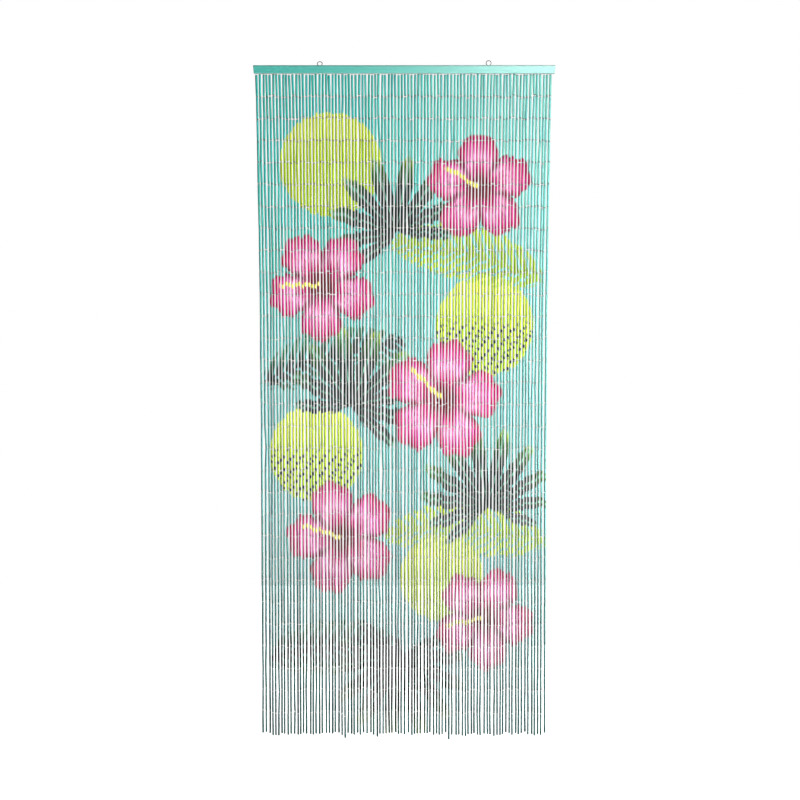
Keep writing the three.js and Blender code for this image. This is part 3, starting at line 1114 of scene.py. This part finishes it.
class CURTAIN_OT_add_sticks(Operator):
    """Add the printed bamboo sticks, in bays of neighbouring strands"""

    bl_idname = "curtain.add_sticks"
    bl_label = "Add sticks"

    def execute(self, context):
        settings = settings_of(context).strands
        colours = settings_of(context).print
        bamboo = printed_bamboo(colours)
        joints = joint_places(settings)
        gaps = joint_gaps(settings)
        even = even_places(settings.strands)
        rng = np.random.default_rng(SEED + 1)
        shift = colours.shift * rng.uniform(-1, 1, settings.strands)
        each_stick = (settings.strands, settings.sticks)
        sizes = {name: rng.uniform(-1, 1, each_stick) for name in ("thick", "swell")}
        # The last of these looks sets how strongly grime and painted shade darken each stick's ends
        looks = {name: rng.uniform(0, 1, each_stick) for name in ("oval", "bow", "tone", "hue", "wear_and_shade")}
        for number, bay in bays_of(settings.strands, STRANDS_PER_BAY):
            chance = {name: values[bay].ravel() for name, values in {**sizes, **looks}.items()}
            name = f"stick_bay_{number:02d}"
            mesh = stick_mesh(name, settings, joints[bay], gaps[bay], even[bay], shift[bay], chance)
            place_piece(mesh, bamboo, "printed_bamboo", "strands")
        return {"FINISHED"}


class CURTAIN_OT_add_links(Operator):
    """Add the wire rings that link the sticks and hang them from the rail, once the screw eyes are there"""

    bl_idname = "curtain.add_links"
    bl_label = "Add links"

    def execute(self, context):
        settings = settings_of(context).strands
        steel = bpy.data.materials["steel_wire"]
        joints = joint_places(settings)
        rng = np.random.default_rng(SEED + 2)
        turns = rng.uniform(0, pi, joints.shape[:2])
        tails = settings.ring_radius * rng.uniform(*TAIL_RANGE, settings.strands)
        for number, bay in bays_of(settings.strands, STRANDS_PER_LINK_BAY):
            mesh = link_mesh(f"link_bay_{number}", settings, joints[bay], turns[bay], tails[bay])
            place_piece(mesh, steel, "steel_wire", "strands")
        return {"FINISHED"}


# Stage


class CURTAIN_OT_add_stage(Operator):
    """Add the floor, the lights and the camera"""

    bl_idname = "curtain.add_stage"
    bl_label = "Add stage"

    def execute(self, context):
        settings = settings_of(context).stage
        self.add_floor(settings)
        for light in LIGHTS:
            self.add_light(light, getattr(settings, f"{light.name}_power"))
        self.light_world(settings)
        self.add_camera(settings)
        context.scene.view_settings.view_transform = "Standard"
        return {"FINISHED"}

    def add_floor(self, settings):
        """A flat square of one face, which the camera sees and which throws no light on the curtain."""
        edge = np.array([-FLOOR_SIZE / 2, FLOOR_SIZE / 2])
        x, y = (part.ravel() for part in np.meshgrid(edge, edge))
        z = np.full(4, STRANDS_LOW.z - settings.floor_gap)
        points = np.stack([x, y, z], axis=1)
        mesh = put_in_mesh("floor", points, NO_TRIANGLES, np.array([[0, 1, 3, 2]]))
        mesh.materials.append(floor_white())
        floor = new_object("floor", mesh)
        floor.visible_diffuse = False
        floor.visible_glossy = False

    def add_light(self, light, power):
        data = bpy.data.lights.new(light.name, "AREA")
        data.shape = "RECTANGLE"
        data.size, data.size_y = light.width, light.height
        data.spread = radians(light.spread)
        data.energy = power
        lamp = new_object(light.name, data)
        lamp.location = light.place
        lamp.visible_camera = False
        lamp.visible_glossy = light.shiny
        heading = Vector(light.aim) - Vector(light.place)
        lamp.rotation_euler = heading.to_track_quat("-Z", "Y").to_euler()

    def light_world(self, settings):
        """White to the eye, and a weaker light on the curtain: from all around, and more from above and
        below, as a power of the height that it comes from."""
        world = bpy.data.worlds.new("white")
        world.use_nodes = True
        world.node_tree.nodes.clear()
        start = Shade(world.node_tree)
        seen = start.node("ShaderNodeLightPath", output="Is Camera Ray")
        _, _, height = start.node("ShaderNodeTexCoord", output="Generated").parts()
        fill = abs(height) ** BOUNCE_POWER * settings.bounce + settings.fill
        strength = seen * (1 - fill) + fill
        light = start.node("ShaderNodeBackground", None, {"Color": (1, 1, 1, 1), "Strength": strength})
        start.node("ShaderNodeOutputWorld", None, {"Surface": light})
        bpy.context.scene.world = world

    def add_camera(self, settings):
        data = bpy.data.cameras.new("camera")
        data.lens = settings.lens
        data.sensor_width = SENSOR
        camera = new_object("camera", data)
        camera.location = (CAMERA_ACROSS, -settings.distance, CAMERA_HEIGHT)
        camera.rotation_euler = (pi / 2, 0, 0)
        bpy.context.scene.camera = camera


class VIEW3D_PT_bamboo_curtain(Panel):
    """Lists the curtain's settings and the operators that build it"""

    bl_label = "Bamboo curtain"
    bl_space_type = "VIEW_3D"
    bl_region_type = "UI"
    bl_category = "Curtain"

    def draw(self, context):
        settings = settings_of(context)
        for operator, group in (
            (CURTAIN_OT_add_rail, settings.rail),
            (CURTAIN_OT_add_screw_eyes, settings.eyes),
            (CURTAIN_OT_add_sticks, settings.print),
            (CURTAIN_OT_add_links, settings.strands),
            (CURTAIN_OT_add_stage, settings.stage),
        ):
            box = self.layout.box()
            box.operator(operator.bl_idname)
            for name in group.__annotations__:
                box.prop(group, name)


CLASSES = (
    RailSettings,
    EyeSettings,
    StrandSettings,
    PrintSettings,
    StageSettings,
    CurtainSettings,
    CURTAIN_OT_add_rail,
    CURTAIN_OT_add_screw_eyes,
    CURTAIN_OT_add_sticks,
    CURTAIN_OT_add_links,
    CURTAIN_OT_add_stage,
    VIEW3D_PT_bamboo_curtain,
)


def register():
    for item in CLASSES:
        bpy.utils.register_class(item)
    bpy.types.Scene.bamboo_curtain = PointerProperty(type=CurtainSettings)


def unregister():
    del bpy.types.Scene.bamboo_curtain
    for item in reversed(CLASSES):
        bpy.utils.unregister_class(item)


def main():
    """Builds the curtain and its stage."""
    register()
    bpy.ops.curtain.add_rail()
    bpy.ops.curtain.add_screw_eyes()
    bpy.ops.curtain.add_sticks()
    bpy.ops.curtain.add_links()
    bpy.ops.curtain.add_stage()


if __name__ == "__main__":
    main()
